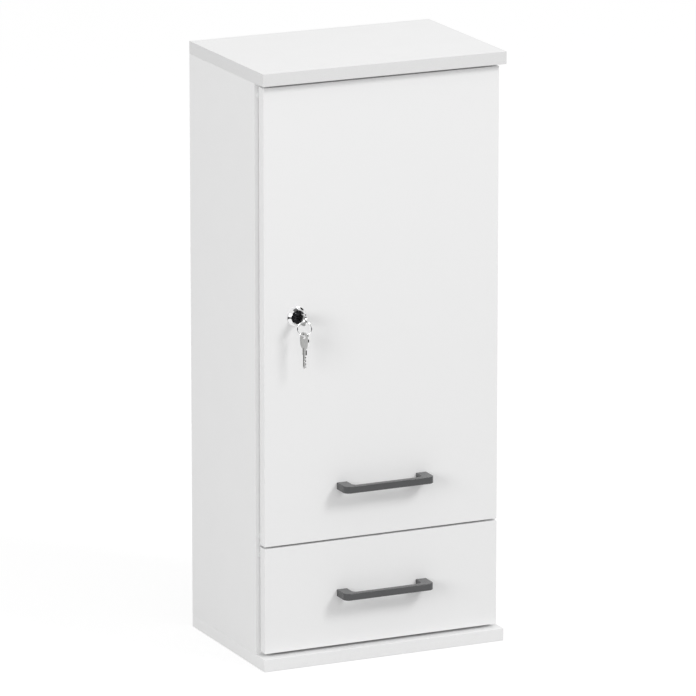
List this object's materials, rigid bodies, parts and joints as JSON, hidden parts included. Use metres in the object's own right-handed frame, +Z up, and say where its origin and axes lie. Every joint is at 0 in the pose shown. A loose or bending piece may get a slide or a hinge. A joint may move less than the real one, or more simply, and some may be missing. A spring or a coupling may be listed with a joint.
{
  "type": "lockable medicine cabinet",
  "caption": "Tall narrow cabinet of white board with a hinged, cam-locked door over a drawer, bow handles, inner shelves and a key with ring and spare.",
  "frame": {"origin": "centre of the bottom board's underside", "axes": "+X to the right seen from the front, +Y to the back, +Z up"},
  "size_m": [0.37, 0.2729, 0.85],
  "materials": {
    "white_board": "white resin-faced chipboard, fine satin, with matching edge bands",
    "backing_sheet": "white lacquered hardboard sheet",
    "handle_graphite": "matt graphite powder coat on die-cast zinc",
    "lock_chrome": "bright nickel-chrome plating",
    "plug_black": "gloss black oxide",
    "zinc_steel": "zinc-plated steel",
    "hinge_nickel": "nickel-plated steel",
    "dowel_beech": "plain turned beech",
    "runner_enamel": "white enamelled sheet steel",
    "roller_nylon": "natural nylon",
    "bumper_clear": "milky soft plastic"
  },
  "bodies": {
    "carcass": {"top_panel": "white_board", "bottom_panel": "white_board", "left_side_panel": "white_board", "right_side_panel": "white_board", "back_panel": "backing_sheet", "divider_panel": "white_board", "upper_shelf": "white_board", "lower_shelf": "white_board", "shelf_pins": "zinc_steel", "wall_rail": "white_board", "carcass_dowels": "dowel_beech", "connector_bolts": "zinc_steel", "connector_cams": "zinc_steel", "hinge_side_leaves": "hinge_nickel", "hinge_pins": "hinge_nickel", "hinge_side_screws": "zinc_steel", "lock_keeper": "zinc_steel", "keeper_screws": "zinc_steel", "bumpers": "bumper_clear", "left_rail": "runner_enamel", "right_rail": "runner_enamel", "rail_screws": "zinc_steel", "front_axles": "zinc_steel"},
    "door": {"door_panel": "white_board", "door_handle": "handle_graphite", "door_handle_screws": "zinc_steel", "hinge_door_leaves": "hinge_nickel", "hinge_door_screws": "zinc_steel", "lock_housing": "lock_chrome", "lock_nut": "zinc_steel"},
    "lock": {"lock_plug": "plug_black", "lock_cam": "zinc_steel", "cam_screw": "zinc_steel"},
    "key": {"lock_key": "lock_chrome"},
    "ring": {"key_ring": "lock_chrome"},
    "spare": {"spare_key": "lock_chrome"},
    "drawer": {"drawer_front": "white_board", "drawer_left_side": "white_board", "drawer_right_side": "white_board", "drawer_back": "white_board", "drawer_bottom": "backing_sheet", "drawer_dowels": "dowel_beech", "drawer_handle": "handle_graphite", "drawer_handle_screws": "zinc_steel", "left_drawer_rail": "runner_enamel", "right_drawer_rail": "runner_enamel", "drawer_rail_screws": "zinc_steel", "rear_axles": "zinc_steel"},
    "carcass_rollers": {"front_rollers": "roller_nylon"},
    "drawer_rollers": {"rear_rollers": "roller_nylon"}
  },
  "joints": [
    {"name": "door_swing", "type": "hinge", "parent": "carcass", "child": "door", "pos_m": [0.182, -0.0989, 0.50225], "axis": [0, 0, 1], "range_deg": [0, 165]},
    {"name": "lock_turn", "type": "hinge", "parent": "door", "child": "lock", "pos_m": [-0.13, -0.1135, 0.50225], "axis": [0, -1, 0], "range_deg": [0, 90]},
    {"name": "key_pull", "type": "slide", "parent": "lock", "child": "key", "axis": [0, -1, 0], "range_m": [0, 0.03]},
    {"name": "ring_swing", "type": "hinge", "parent": "key", "child": "ring", "pos_m": [-0.13, -0.14, 0.50035], "axis": [-0.9063, 0.4226, 0], "range_deg": [-8, 60]},
    {"name": "spare_swing", "type": "hinge", "parent": "ring", "child": "spare", "pos_m": [-0.13, -0.14, 0.48095], "axis": [-0.9063, 0.4226, 0], "range_deg": [-10, 45]},
    {"name": "drawer_slide", "type": "slide", "parent": "carcass", "child": "drawer", "axis": [0, -1, 0], "range_m": [0, 0.14]},
    {"name": "front_roller_spin", "type": "hinge", "parent": "carcass", "child": "carcass_rollers", "pos_m": [0, -0.085, 0.0503], "axis": [1, 0, 0], "range_deg": [0, 960]},
    {"name": "rear_roller_spin", "type": "hinge", "parent": "drawer", "child": "drawer_rollers", "pos_m": [0, 0.075, 0.0479], "axis": [1, 0, 0], "range_deg": [0, 960]}
  ],
  "couplings": [
    {"joint": "front_roller_spin", "follows": "drawer_slide", "rad_per_m": 119.05},
    {"joint": "rear_roller_spin", "follows": "drawer_slide", "rad_per_m": 119.05}
  ]
}
